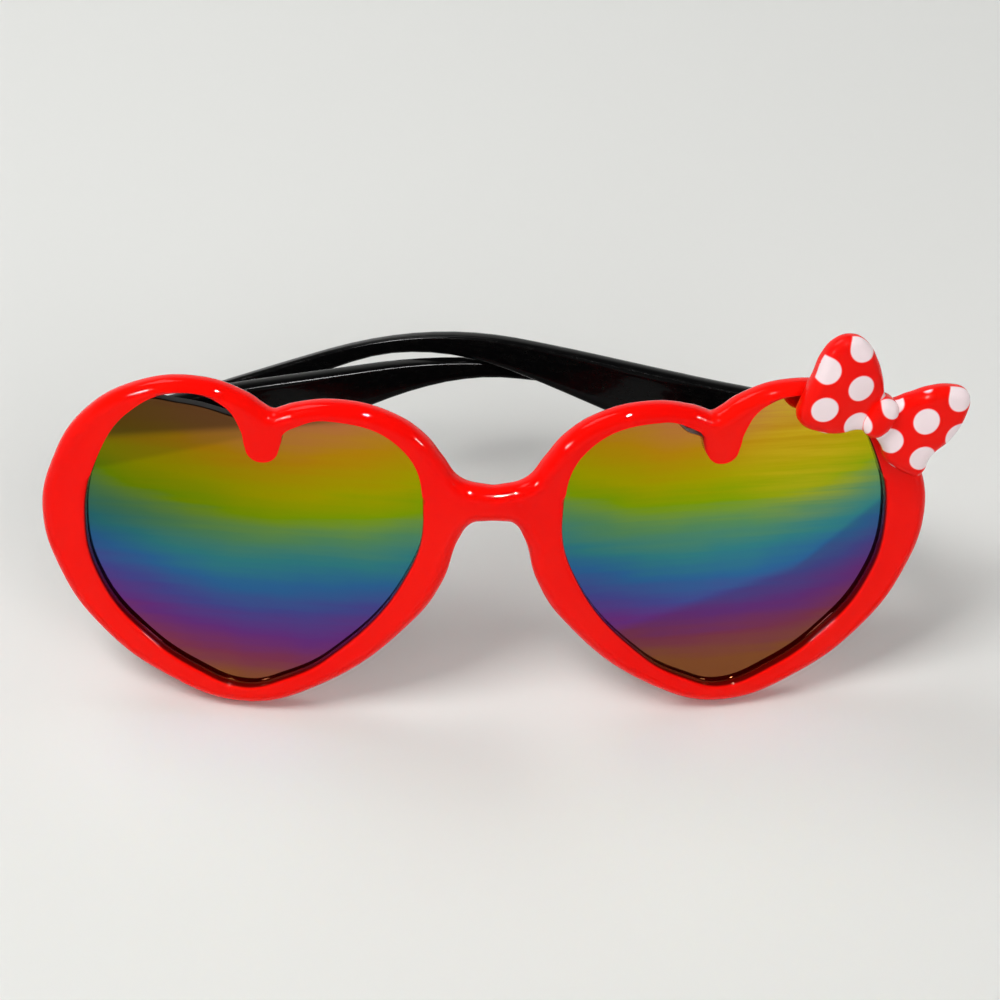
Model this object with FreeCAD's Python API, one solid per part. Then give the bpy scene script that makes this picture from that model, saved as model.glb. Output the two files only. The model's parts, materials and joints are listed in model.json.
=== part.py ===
"""Child's heart shaped sunglasses, folded and lying on a table as they are put down.

The glasses are modelled standing upright: X runs across the face towards the wearer's left, Y runs
backward from the front of the bridge and Z runs up from the middle of the bridge. At the end the
whole is leaned back until one folded arm's tip meets the table, as the two hearts' tips do.
"""
import math
import os

import FreeCAD
import Part
from FreeCAD import Vector

# Front: a moulded plastic frame, two flat halves that a curved bridge joins
heart_centre = 34.0  # from the middle of the bridge to the middle of a heart
bridge_top = 3.2
bridge_bottom = -2.0
bridge_half = 1.6  # from the middle to where a half begins
bridge_radius = 12.0  # of the bridge's curve, at its front
front_wrap = 8.0  # degrees that each half is swept back
front_thickness = 4.4
front_bevel = 0.9  # along every front edge

# Lenses: each sits in a groove round its opening
front_lip = 1.6  # plastic in front of the lens
lens_thickness = 1.6
groove_depth = 1.0
lens_play = 0.1  # between a lens and its groove, all round
drop_radius = 2.65  # of the round end that hangs between a heart's lobes
drop_height = 7.8  # of that round end's centre
drop_offset = -1.55  # from the middle of the heart, towards the nose

# Nose pads: moulded on the back of the front
pad_centre = (-23.85, -12.8)  # from the middle of the heart
pad_half_length = 5.6
pad_half_width = 1.7
pad_slant = 60.0  # degrees, down and away from the nose
pad_reach = 2.4  # behind the front's back face
pad_bevel = 1.1

# Hinges: two barrels on the front, one on the arm, and a screw through all three
hinge_out = 23.0  # from the middle of a heart to the screw
hinge_back = 17.5  # from the front of the bridge to the screw
hinge_height = 0.6  # of the middle of the hinge
hinge_lean = 2.6  # degrees that both screws lean the same way, so that one arm folds over the other
barrel_radius = 1.4
arm_barrel = 2.4  # length of the middle barrel
front_barrel = 2.0  # length of each outer barrel
barrel_gap = 0.1  # between barrels, end to end
screw_radius = 0.7
screw_play = 0.05
head_radius = 1.25
head_height = 0.8
slot_width = 0.35
slot_depth = 0.35
face_inset = 1.6  # from the screw to the inner face of the arm and of its end block
leaf_thickness = 0.8
front_leaf = 4.2  # length of the leaf on the front
arm_leaf = 7.0  # length of the leaf on the arm
leaf_gap = 0.3  # from the screw to where a leaf may begin
anchor_width = 1.2
anchor_length = 1.8
anchor_play = 0.03
anchor_spread = 3.6  # between the front leaf's two anchors, up and down
anchor_pitch = 3.4  # between the arm leaf's two anchors, along the arm

# Arms: moulded plastic, broad at the hinge and slender over the ear
arm_length = 115.0
blade_height = 10.5
neck_height = 2.7
tip_height = 2.9
blade_thickness = 3.2
ear_thickness = 2.6
blade_end = 22.0  # from the hinge to where the blade starts to narrow
neck_start = 70.0
neck_end = 84.0
bend_start = 46.0
arm_drop = 19.0  # of the tip's upper edge below the blade's
drop_power = 2.1  # how late the drop comes
arm_inset = 12.0  # of the tip, towards the head
inset_power = 1.8
tip_round = 1.15  # length of the rounded end
tip_shares = (0.94, 0.55)  # of the full section, where that end begins and where it stops
butt_gap = 0.15  # between the open arm's end and its end block
arm_bevel = 0.8
fold_rest = 24.3  # degrees between the front and a folded arm
fold_open = 90.0

# Bow: a moulded ornament, pegged and glued to the front over the wearer's left eye
bow_out = 20.1  # along the front from the middle of the heart
bow_height = 14.1
bow_slope = 29.2  # degrees down towards the outside
bow_half_length = 12.9
bow_half_width = 7.5
loop_widest = 9.6  # from the knot's middle to where a loop is widest
loop_shoulder = (12.1, 5.7)  # where a loop turns to its round end
bow_thickness = 3.4
bow_bevel = 1.3
bow_seat = 0.1  # glue between the bow and the front
neck_half_width = 1.9
knot_half_length = 2.2
knot_half_width = 2.7
knot_thickness = 4.6
knot_bevel = 1.2
peg_radius = 0.6
peg_length = 1.3  # less than the plastic in front of a lens
peg_play = 0.03
peg_places = ((-4.1, -2.2), (6.0, -4.4))

# Places along an arm where its section is drawn
ARM_STATIONS = (12.0, 22.0, 32.0, 42.0, 52.0, 62.0, 72.0, 82.0, 92.0, 102.0)

AXIS_X = Vector(1, 0, 0)
AXIS_Y = Vector(0, 1, 0)
AXIS_Z = Vector(0, 0, 1)
ORIGIN = Vector(0, 0, 0)

# Points of a heart, from its middle, in order from the bridge over the top and back below
INNER_LOBE = ((-29.1, 4.0), (-26.6, 7.1), (-24.0, 10.3), (-19.5, 13.2), (-12.0, 14.75), (-5.6, 13.85))
NOTCH = ((-3.9, 13.2), (-2.75, 12.8), (-1.7, 13.4))
OUTER_LOBE = (
    (0.7, 15.1), (7.5, 17.0), (24.1, 10.4), (30.0, -4.7), (22.6, -22.6), (13.0, -30.3), (1.4, -34.0),
    (-3.4, -33.1), (-9.2, -30.8), (-27.1, -12.1), (-29.5, -5.5),
)
OPENING = (
    (4.0, 13.4), (10.3, 14.75), (16.5, 11.6), (21.2, 4.8), (23.6, -5.7), (8.4, -28.7), (1.0, -31.1),
    (-4.5, -29.6), (-11.0, -25.6), (-22.4, -10.6), (-24.1, -1.2), (-21.3, 8.1), (-10.5, 12.0), (-5.9, 10.6),
)

# Where the screws and the bow come, from the middle of the bridge
hinge_across = heart_centre + hinge_out
bow_across = heart_centre + bow_out


def heart_point(place):
    """A point of the left half's front plane, given from the middle of the heart."""
    return Vector(heart_centre + place[0], 0, place[1])


def arc_under(start, corner, end):
    """The arc that touches two equal legs from a corner, at their ends."""
    middle = (start + end) / 2
    rise = (corner - middle).Length
    half = (end - start).Length / 2
    if rise < 1e-4 * half:
        return Part.LineSegment(start, end).toShape()
    bulge = half * math.tan(math.atan2(rise, half) / 2)
    return Part.Arc(start, middle + (corner - middle) * (bulge / rise), end).toShape()


def arcs(points, start, end):
    """Pairs of tangent arcs through the points, with the given directions at the ends."""
    headings = [start.normalize()]
    for before, here, after in zip(points, points[1:], points[2:]):
        arriving = here - before
        leaving = after - here
        turn = arriving / arriving.Length**2 + leaving / leaving.Length**2
        headings.append(turn.normalize())
    headings.append(end.normalize())
    edges = []
    for index in range(len(points) - 1):
        first, last = points[index], points[index + 1]
        out, into = headings[index], headings[index + 1]
        span = last - first
        along = span.dot(out + into)
        bend = 2 * (1 - out.dot(into))
        reach = span.dot(span) / (along + math.sqrt(along**2 + bend * span.dot(span)))
        near = first + out * reach
        far = last - into * reach
        meeting = (near + far) / 2
        edges.append(arc_under(first, near, meeting))
        edges.append(arc_under(meeting, far, last))
    return edges


def mirrored(shape):
    """The same shape on the wearer's other side."""
    return shape.mirror(ORIGIN, AXIS_X)


def plate(edges, near, far):
    """The solid under an outline of the front plane, between two depths behind it."""
    face = Part.Face(Part.Wire(Part.__sortEdges__(edges)))
    face.translate(Vector(0, near, 0))
    return face.extrude(Vector(0, far - near, 0))


def edges_at_depth(shape, depth):
    """Edges that lie in a plane parallel to the front plane."""
    boxes = [(edge, edge.BoundBox) for edge in shape.Edges]
    return [edge for edge, box in boxes if max(abs(box.YMin - depth), abs(box.YMax - depth)) < 0.01]


def placed_half(shape):
    """Moves a shape from the left half's own frame, whose front is flat at Y = 0, to the swept back front."""
    wrap = math.radians(front_wrap)
    shape = shape.copy()
    shape.translate(Vector(-bridge_half, 0, 0))
    shape.rotate(ORIGIN, AXIS_Z, front_wrap)
    shape.translate(Vector(bridge_radius * math.sin(wrap), bridge_radius * (1 - math.cos(wrap)), 0))
    return shape


def front_depth(across):
    """How far back the front face lies at a distance from the middle."""
    wrap = math.radians(front_wrap)
    past_bridge = across - bridge_radius * math.sin(wrap)
    return bridge_radius * (1 - math.cos(wrap)) + past_bridge * math.tan(wrap)


def half_outline():
    """The outline of the front's left half, from the top of the bridge round to its underside."""
    notch = Part.Arc(*[heart_point(place) for place in NOTCH])
    arriving = notch.tangent(notch.FirstParameter)[0]
    leaving = notch.tangent(notch.LastParameter)[0]
    above = Vector(bridge_half, 0, bridge_top)
    below = Vector(bridge_half, 0, bridge_bottom)
    upper = [above] + [heart_point(place) for place in INNER_LOBE + NOTCH[:1]]
    lower = [heart_point(place) for place in NOTCH[2:] + OUTER_LOBE] + [below]
    edges = arcs(upper, Vector(1, 0, 0), arriving)
    edges.append(notch.toShape())
    edges += arcs(lower, leaving, AXIS_X.negative())
    edges.append(Part.LineSegment(below, above).toShape())
    return edges


def opening_outline():
    """The outline of the left lens opening, with the round end that hangs between the heart's lobes."""
    middle = heart_point((drop_offset, drop_height))
    outward = Vector(drop_radius, 0, 0)
    path = [middle + outward] + [heart_point(place) for place in OPENING] + [middle - outward]
    drop = Part.Arc(path[-1], middle - Vector(0, 0, drop_radius), path[0])
    return arcs(path, AXIS_Z, AXIS_Z.negative()) + [drop.toShape()]


def widened_opening(margin):
    """The opening's outline, moved out into the plastic by a margin."""
    wire = Part.Wire(Part.__sortEdges__(opening_outline()))
    return wire.makeOffset2D(margin).Edges


def placed_hinge(shape, side):
    """Moves a shape from the hinge's own frame to one side of the front.

    In that frame the screw is the Z axis, X points outward and Y backward.
    """
    shape = shape.copy() if side > 0 else mirrored(shape)
    shape.rotate(ORIGIN, AXIS_Y, hinge_lean)
    shape.translate(Vector(side * hinge_across, hinge_back, hinge_height))
    return shape


def rod(radius, length, base, direction=AXIS_Z):
    return Part.makeCylinder(radius, length, base, direction)


def anchor(place, play):
    """A square anchor on a leaf, which is moulded into the plastic."""
    size = anchor_width + 2 * play
    base = place - Vector(0, size / 2, size / 2)
    return Part.makeBox(anchor_length + play, size, size, base)


def front_anchors(play):
    """The front leaf's two anchors, one above the other in the end block."""
    along = -(front_leaf + leaf_gap) / 2
    return [anchor(Vector(face_inset, along, side * anchor_spread / 2), play) for side in (-1, 1)]


def arm_anchors(play):
    """The arm leaf's two anchors, one behind the other in the arm."""
    first = arm_leaf - anchor_pitch - anchor_width
    return [anchor(Vector(face_inset, first + step * anchor_pitch, 0), play) for step in (0, 1)]


def hinge_half_height():
    return arm_barrel / 2 + barrel_gap + front_barrel


def leaf(length, direction):
    """A flat leaf on the inner face, on the front's side or the arm's side of the screw."""
    start = leaf_gap if direction > 0 else -length
    base = Vector(face_inset - leaf_thickness, start, -hinge_half_height())
    return Part.makeBox(leaf_thickness, length - leaf_gap, 2 * hinge_half_height(), base)


def barrel_room(low, high):
    """The space that the other leaf's barrel turns in."""
    radius = face_inset + barrel_gap
    return rod(radius, high - low, Vector(0, 0, low))


def front_hinge():
    half = hinge_half_height()
    inner = arm_barrel / 2 + barrel_gap
    upper = rod(barrel_radius, front_barrel, Vector(0, 0, inner))
    lower = rod(barrel_radius, front_barrel, Vector(0, 0, -half))
    plate = leaf(front_leaf, -1).cut(barrel_room(-inner, inner))
    whole = plate.fuse([upper, lower] + front_anchors(0))
    return whole.cut(rod(screw_radius + screw_play, 2 * half, Vector(0, 0, -half))).removeSplitter()


def arm_hinge():
    half = hinge_half_height()
    inner = arm_barrel / 2
    barrel = rod(barrel_radius, arm_barrel, Vector(0, 0, -inner))
    plate = leaf(arm_leaf, 1)
    plate = plate.cut(barrel_room(inner, half)).cut(barrel_room(-half, -inner))
    whole = plate.fuse([barrel] + arm_anchors(0))
    return whole.cut(rod(screw_radius + screw_play, 2 * half, Vector(0, 0, -half))).removeSplitter()


def hinge_screw():
    half = hinge_half_height()
    shank = rod(screw_radius, 2 * half, Vector(0, 0, -half))
    head = rod(head_radius, head_height, Vector(0, 0, half))
    slot_base = Vector(-head_radius, -slot_width / 2, half + head_height - slot_depth)
    slot = Part.makeBox(2 * head_radius, slot_width, slot_depth, slot_base)
    return shank.fuse(head).cut(slot).removeSplitter()


def blend(value, start, end):
    """0 before start, 1 after end and smooth between them."""
    share = min(max((value - start) / (end - start), 0.0), 1.0)
    return share * share * (3 - 2 * share)


def arm_top(along):
    """Height of the arm's upper edge, which drops behind the ear."""
    share = max(along - bend_start, 0.0) / (arm_length - bend_start)
    return blade_height / 2 - arm_drop * share**drop_power


def arm_height(along):
    narrowed = (neck_height - blade_height) * blend(along, blade_end, neck_start)
    return blade_height + narrowed + (tip_height - neck_height) * blend(along, neck_end, arm_length)


def arm_inner(along):
    """Distance of the arm's inner face from the screw, outward."""
    share = max(along - bend_start, 0.0) / (arm_length - bend_start)
    return face_inset - arm_inset * share**inset_power


def arm_thickness(along):
    return blade_thickness + (ear_thickness - blade_thickness) * blend(along, blade_end, neck_start)


def arm_section(along, share):
    """The arm's bevelled outline across its length, with a share of its full size."""
    step = 0.5
    centre_line = [arm_top(place) - arm_height(place) / 2 for place in (along - step, along, along + step)]
    lean = math.atan((centre_line[2] - centre_line[0]) / (2 * step))
    half_height = arm_height(along) * share * math.cos(lean) / 2
    half_width = arm_thickness(along) * share / 2
    bevel = arm_bevel * share
    middle = Vector(arm_inner(along) + arm_thickness(along) / 2, along, centre_line[1])
    up = Vector(0, -math.sin(lean), math.cos(lean))
    quarter = [(half_width, half_height - bevel), (half_width - bevel, half_height)]
    half = quarter + [(-x, z) for x, z in reversed(quarter)]
    outline = half + [(x, -z) for x, z in reversed(half)]
    points = [middle + AXIS_X * x + up * z for x, z in outline]
    return Part.makePolygon(points + points[:1])


def open_arm():
    """An arm in the hinge's own frame, straight back as it is worn."""
    stations = [(butt_gap, 1.0)]
    stations += [(along, 1.0) for along in ARM_STATIONS]
    stations += zip((arm_length - tip_round, arm_length), tip_shares)
    arm = Part.makeLoft([arm_section(along, share) for along, share in stations], True, False)
    return arm.cut(arm_anchors(anchor_play))


def end_block():
    """The block behind the front that an arm butts on when it is open, in the hinge's own frame."""
    depth = hinge_back - front_depth(hinge_across + face_inset) - front_thickness / 2
    base = Vector(face_inset, -depth, -blade_height / 2)
    return Part.makeBox(blade_thickness, depth, blade_height, base)


def slot_outline(centre, slant, half_length, half_width):
    """A slot with round ends in the front plane, whose length runs down at a slant in degrees."""
    along = Vector(math.cos(math.radians(slant)), 0, -math.sin(math.radians(slant)))
    across = Vector(-along.z, 0, along.x)
    middles = [centre + along * (end * (half_length - half_width)) for end in (-1, 1)]
    edges = []
    for middle, outward in zip(middles, (along.negative(), along)):
        corners = [middle + across * half_width, middle - across * half_width]
        edges.append(Part.Arc(corners[0], middle + outward * half_width, corners[1]).toShape())
    for side in (-1, 1):
        ends = [middle + across * (side * half_width) for middle in middles]
        edges.append(Part.LineSegment(*ends).toShape())
    return edges


def nose_pad():
    """A rounded pad on the left side of the nose gap, in the left half's own frame."""
    end = front_thickness + pad_reach
    outline = slot_outline(heart_point(pad_centre), pad_slant, pad_half_length, pad_half_width)
    pad = plate(outline, front_thickness / 2, end)
    return pad.makeChamfer(pad_bevel, edges_at_depth(pad, end))


def bow_placed(shape):
    """Moves a shape from the bow's own frame to its seat on the front.

    In that frame X is the bow's length, Y points into the front and Z is its width.
    """
    shape = shape.copy()
    shape.rotate(ORIGIN, AXIS_Y, bow_slope)
    shape.translate(Vector(bow_across, -bow_seat, bow_height))
    return placed_half(shape)


def bow_pegs(play):
    reach = peg_length + bow_seat + play
    return [rod(peg_radius + play, reach, Vector(x, 0, z), AXIS_Y) for x, z in peg_places]


def bevelled_slab(outline, thickness, bevel):
    """A slab in front of the bow's seat, with its front edge bevelled."""
    slab = plate(outline, 0, -thickness)
    return slab.makeChamfer(bevel, edges_at_depth(slab, -thickness))


def bow_loop():
    """One of the bow's two loops, the outer one."""
    upper = [
        Vector(0, 0, neck_half_width),
        Vector(loop_widest, 0, bow_half_width),
        Vector(loop_shoulder[0], 0, loop_shoulder[1]),
        Vector(bow_half_length, 0, 0),
    ]
    lower = [Vector(point.x, 0, -point.z) for point in reversed(upper[:-1])]
    outline = arcs(upper + lower, Vector(1, 0, 1), Vector(-1, 0, 1))
    neck = Part.LineSegment(lower[-1], upper[0]).toShape()
    return bevelled_slab(outline + [neck], bow_thickness, bow_bevel)


def bow():
    knot_outline = slot_outline(ORIGIN, 90.0, knot_half_width, knot_half_length)
    knot = bevelled_slab(knot_outline, knot_thickness, knot_bevel)
    loop = bow_loop()
    whole = knot.fuse([loop, mirrored(loop)] + bow_pegs(0)).removeSplitter()
    return bow_placed(whole)


def bridge():
    """The curved piece of the front between its two halves."""
    base = Vector(0, bridge_radius, bridge_bottom)
    height = bridge_top - bridge_bottom
    wedge = Part.makeCylinder(bridge_radius, height, base, AXIS_Z, 2 * front_wrap)
    hollow = Part.makeCylinder(bridge_radius - front_thickness, height, base, AXIS_Z)
    ring = wedge.cut(hollow)
    ring.rotate(base, AXIS_Z, -90 - front_wrap)
    front_edges = []
    for edge in ring.Edges:
        if isinstance(edge.Curve, Part.Circle) and abs(edge.Curve.Radius - bridge_radius) < 0.01:
            front_edges.append(edge)
    return ring.makeChamfer(front_bevel, front_edges)


def front_half():
    """The left half of the front in its own frame, with its bevelled edges and nose pad."""
    body = plate(half_outline(), 0, front_thickness)
    body = body.cut(plate(opening_outline(), -1, front_thickness + 1))
    rim = [edge for edge in edges_at_depth(body, 0) if edge.BoundBox.XMax > bridge_half + 0.01]
    return body.makeChamfer(front_bevel, rim).fuse(nose_pad())


def lens_room(margin, play):
    """The space of the left lens, with play before and behind it, in the left half's own frame."""
    return plate(widened_opening(margin), front_lip - play, front_lip + lens_thickness + play)


def frame_front():
    half = placed_half(front_half())
    blank = placed_half(plate(half_outline(), 0, hinge_back))
    left_block = placed_hinge(end_block(), 1).common(blank)
    right_block = placed_hinge(end_block(), -1).common(mirrored(blank))
    body = bridge().fuse([half, mirrored(half), left_block, right_block])
    groove = placed_half(lens_room(groove_depth, lens_play))
    cuts = [groove, mirrored(groove)]
    cuts += [placed_hinge(hole, side) for side in (-1, 1) for hole in front_anchors(anchor_play)]
    cuts += [bow_placed(peg) for peg in bow_pegs(peg_play)]
    return body.cut(cuts).removeSplitter()


def lens():
    return placed_half(lens_room(groove_depth - lens_play, 0))


def folded(shape, degrees):
    """Turns an arm's piece, in the hinge's own frame, from worn to folded."""
    shape = shape.copy()
    shape.rotate(ORIGIN, AXIS_Z, degrees)
    return shape


def upright_parts():
    """Every piece, with the front upright and both arms folded."""
    fold = fold_open - fold_rest
    parts = {"frame_front": frame_front(), "bow": bow()}
    left_lens = lens()
    parts["left_lens"] = left_lens
    parts["right_lens"] = mirrored(left_lens)
    arm = folded(open_arm(), fold)
    leaf_on_arm = folded(arm_hinge(), fold)
    for side, name in ((1, "left"), (-1, "right")):
        parts[name + "_temple"] = placed_hinge(arm, side)
        parts[name + "_temple_hinge"] = placed_hinge(leaf_on_arm, side)
        parts[name + "_front_hinge"] = placed_hinge(front_hinge(), side)
        parts[name + "_hinge_screw"] = placed_hinge(hinge_screw(), side)
    return parts


def lowest(points, lean):
    """The lowest of some points, once the whole leans back."""
    return min(p.z * math.cos(lean) - p.y * math.sin(lean) for p in points)


def resting_lean(parts):
    """The angle at which the right arm's tip and the hearts' tips are level."""
    arm = parts["right_temple"].tessellate(0.02)[0]
    front = parts["frame_front"].tessellate(0.02)[0]
    low = 0.0
    high = math.radians(45)
    for _ in range(40):
        middle = (low + high) / 2
        if lowest(arm, middle) > lowest(front, middle):
            low = middle
        else:
            high = middle
    return low


def main():
    os.makedirs("parts", exist_ok=True)
    parts = upright_parts()
    lean = resting_lean(parts)
    front = parts["frame_front"].tessellate(0.02)[0]
    tip = min(front, key=lambda p: p.z * math.cos(lean) - p.y * math.sin(lean))
    tip_back = tip.y * math.cos(lean) + tip.z * math.sin(lean)
    down = Vector(0, -tip_back, -lowest(front, lean))
    for name, shape in parts.items():
        shape.rotate(ORIGIN, AXIS_X, -math.degrees(lean))
        shape.translate(down)
        shape.exportStep("parts/" + name + ".step")
    print("lean", round(math.degrees(lean), 3))
    turn = FreeCAD.Rotation(AXIS_X, -math.degrees(lean))
    tilt = FreeCAD.Rotation(AXIS_Y, hinge_lean)
    print("screw direction", turn.multVec(tilt.multVec(AXIS_Z)))
    for side in (-1, 1):
        middle = turn.multVec(Vector(side * hinge_across, hinge_back, hinge_height)) + down
        print("screw", side, middle)


if __name__ == "__main__":
    main()
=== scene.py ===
"""Dresses the folded heart shaped sunglasses: smooth mouldings, their finishes and a plain studio."""

import json
import math

import bmesh
import bpy
from bpy.props import FloatProperty, FloatVectorProperty, PointerProperty
from mathutils import Matrix, Quaternion, Vector


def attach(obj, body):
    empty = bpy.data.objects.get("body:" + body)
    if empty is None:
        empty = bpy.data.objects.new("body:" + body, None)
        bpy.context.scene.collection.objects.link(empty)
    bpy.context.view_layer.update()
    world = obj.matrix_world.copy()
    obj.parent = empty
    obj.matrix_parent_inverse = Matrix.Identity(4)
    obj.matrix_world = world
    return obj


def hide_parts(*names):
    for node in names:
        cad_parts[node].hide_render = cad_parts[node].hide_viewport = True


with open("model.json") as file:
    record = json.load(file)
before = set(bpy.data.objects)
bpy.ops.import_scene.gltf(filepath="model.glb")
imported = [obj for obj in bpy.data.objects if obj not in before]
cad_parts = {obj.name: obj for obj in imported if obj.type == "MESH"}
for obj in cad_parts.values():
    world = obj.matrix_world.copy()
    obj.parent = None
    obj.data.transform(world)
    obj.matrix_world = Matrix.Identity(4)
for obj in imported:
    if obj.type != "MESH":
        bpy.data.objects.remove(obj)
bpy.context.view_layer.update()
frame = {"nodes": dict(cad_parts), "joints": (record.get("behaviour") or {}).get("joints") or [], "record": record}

bl_info = {
    "name": "Heart Sunglasses",
    "version": (1, 0, 0),
    "blender": (4, 5, 0),
    "location": "View3D > Sidebar > Sunglasses",
    "description": "Builds the mouldings, finishes and studio of a folded pair of heart shaped sunglasses",
    "category": "Object",
}

# All sizes below are in millimetres of the upright glasses: X towards the wearer's left, Y backward
# from the front of the bridge and Z up from its middle
MM = 0.001

# Drawn plates: steps along each stretch of an outline and round an edge, and what counts as one point or flat
OUTLINE_STEPS = 10
EDGE_STEPS = 5
SAME_POINT = 0.001
FLAT_ANGLE = math.radians(0.1)

# Front
HEART_CENTRE = 34.0
BRIDGE_TOP = 3.2
BRIDGE_BOTTOM = -2.0
BRIDGE_HALF = 1.6
BRIDGE_RADIUS = 12.0
FRONT_WRAP = math.radians(8.0)
FRONT_THICKNESS = 4.4
BRIDGE_STEPS = 4

# Points of a heart from its middle, in order from the bridge over the top and back below
HEART = (
    (-29.1, 4.0), (-26.6, 7.1), (-24.0, 10.3), (-19.5, 13.2), (-12.0, 14.75), (-5.6, 13.85), (-3.9, 13.2),
    (-2.75, 12.8), (-1.7, 13.3), (0.7, 14.9), (7.5, 16.95), (16.2, 15.7), (24.1, 10.5), (28.3, 3.3),
    (30.0, -4.6), (27.6, -14.4), (22.5, -22.5), (13.0, -30.2), (1.4, -34.0), (-9.2, -30.7), (-23.3, -18.4),
    (-27.1, -12.0), (-29.2, -5.1), (-31.0, -2.4),
)
OPENING = (
    (1.35, 10.2), (3.9, 14.0), (10.2, 15.4), (16.6, 12.4), (21.4, 5.2), (23.6, -5.4), (21.4, -15.2),
    (15.6, -22.9), (8.3, -28.3), (1.0, -30.9), (-4.5, -29.2), (-11.0, -25.1), (-22.2, -10.4), (-24.1, -0.8),
    (-21.3, 8.7), (-10.5, 12.6), (-6.3, 11.4), (-4.4, 10.0),
)
DROP_MIDDLE = (-1.55, 8.1)
DROP_RADIUS = 2.45
DROP_TURNS = (180, 225, 270, 315, 360)

# Openings: their walls face the middle, their front edges are rounded below the lobes, and painted shade on
# the walls fades in between two shares of that rounding
OPENING_MIDDLE = -8.0
OPENING_REACH = 28.0
FACES_INWARD = 0.1
SOFT_TOP = 2.0
SOFT_STEPS = 4
IN_PLANE = 0.01
SHARP_ANGLE = math.radians(50)
WALL_SHADE_FADE = (0.09, 0.75)

# Where a lens stops short of its opening: points of the opening and the lens points in their place
LENS_SHORT = {
    "right": {(3.9, 14.0): (3.9, 11.3), (10.2, 15.4): (10.2, 12.6)},
    "left": {(-6.3, 11.4): (-6.6, 9.6), (-4.4, 10.0): (-4.7, 8.8)},
}
LENS_FRONT = 1.6
LENS_THICKNESS = 1.6
LENS_SEAT = 0.7
LENS_ROUND = 0.2

# Nose pads and end blocks, moulded on the front
PAD_CENTRE = (-23.85, -12.8)
PAD_HALF_LENGTH = 5.6
PAD_HALF_WIDTH = 1.7
PAD_SLANT = math.radians(60.0)
PAD_REACH = 2.4
PAD_ROUND = 1.1
HINGE = Vector((57.0, 17.5, 0.6))
HINGE_LEAN = math.radians(2.6)
FACE_INSET = 1.6
BLOCK_ROUND = 0.5
BLOCK_SECTION = ((1.6, -5.25), (4.8, -5.25), (4.8, -0.6), (3.2, 2.9), (2.4, 3.35), (1.6, 3.35))
BLOCK_FRONT = -7.4

# Arms, from the screw back: a deep blade, a slim neck and an ear end
ARM_LENGTH = 115.0
BLADE_HEIGHT = 10.5
NECK_HEIGHT = 2.5
TIP_HEIGHT = 3.7
BLADE_THICKNESS = 3.2
EAR_THICKNESS = 2.6
BLADE_END = 22.0
NECK_END = 77.0
EAR_START = 92.0
BEND_START = 46.0
ARM_INSET = 12.0
INSET_POWER = 1.8
BUTT_GAP = 0.15
BUTT_CUT = 1.9
BUTT_LENGTH = 18.0
LIFT_LENGTH = 30.0
FOLD = math.radians(65.7)
ARM_STEPS = 36
ARM_SIDES = 32
SLOPE_STEP = 0.5
FIRST_STATION = 2.0
LAST_STATION = ARM_LENGTH - 1.2

# Rounded ends of an arm: distances from the butt and from the tip, with the section's share there
BUTT_ROUND = ((0.0, 0.94), (0.12, 0.985), (0.4, 1.0))
TIP_ROUND = ((0.6, 0.92), (0.15, 0.72), (0.0, 0.45))

# How each arm hangs: where its fall starts, how deep that would be at the tip and its power, where the
# arm goes on straight, the lift of its blade and where its neck starts
ARM_HANG = {
    "left": {"start": 57.0, "fall": 26.3, "power": 2.0, "straight": 88.0, "lift": -1.0, "neck": 78.0},
    "right": {"start": 46.0, "fall": 18.6, "power": 2.1, "straight": ARM_LENGTH, "lift": 0.75, "neck": 68.0},
}

# Bow, from its own middle
BOW_PLACE = (54.1, 14.1)
BOW_SLOPE = math.radians(29.2)
BOW_SEAT = 0.1
BOW_THICKNESS = 3.3
BOW_CUTS = (13, 7)
LOOP_MIDDLE = 7.5
LOOP_HALF = (5.2, 7.2)
BOW_OUTLINE = (
    (0.5, 1.7), (2.9, 3.6), (5.0, 5.7), (8.0, 7.5), (10.0, 7.8), (11.2, 7.0), (12.0, 5.0), (12.3, 2.6),
    (11.95, 0.1), (11.0, -2.1), (10.9, -3.3), (11.4, -5.2), (11.0, -6.5), (9.6, -6.8), (7.3, -6.8),
    (5.2, -6.3), (3.2, -4.7), (1.0, -4.0), (-1.0, -4.2), (-3.3, -5.9), (-6.1, -7.0), (-9.2, -7.1),
    (-10.4, -6.1), (-10.9, -4.35), (-11.6, 0.0), (-12.1, 2.8), (-11.6, 5.6), (-9.7, 7.4), (-7.4, 7.5),
    (-4.5, 5.9), (-2.5, 4.2),
)
KNOT_PLACE = (0.3, -1.0)
KNOT_OUTLINE = (
    (0.0, 3.1), (1.5, 2.4), (2.1, 0.0), (1.5, -2.4), (0.0, -3.1), (-1.5, -2.4), (-2.1, 0.0), (-1.5, 2.4),
)
KNOT_THICKNESS = 4.6
DOT_SHIFT = (-0.9, 1.65)
DOT_SOFT = 0.12
DOT_TURN = (0.1, 0.25)

# Lens bands: heights where the mirror coating's colours lie, from the top down
LENS_BANDS = (
    (10.0, (0.45, 0.155, 0.05)),
    (5.3, (0.43, 0.21, 0.004)),
    (-0.3, (0.325, 0.30, 0.0005)),
    (-4.0, (0.185, 0.30, 0.002)),
    (-7.8, (0.08, 0.225, 0.10)),
    (-11.6, (0.03, 0.18, 0.20)),
    (-15.4, (0.025, 0.112, 0.275)),
    (-19.3, (0.055, 0.058, 0.245)),
    (-23.2, (0.12, 0.028, 0.185)),
    (-27.2, (0.19, 0.034, 0.075)),
    (-31.0, (0.22, 0.072, 0.025)),
)

# How far streaks and drift move the bands, and how far these lie higher: all, on the left and below the edge of
# the painted dark reflection on the left lens
BAND_STREAK = 3.6
BAND_DRIFT = 4.0
BAND_RAISE = 0.6
LEFT_RAISE = 1.9
BELOW_RAISE = 1.5
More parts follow.
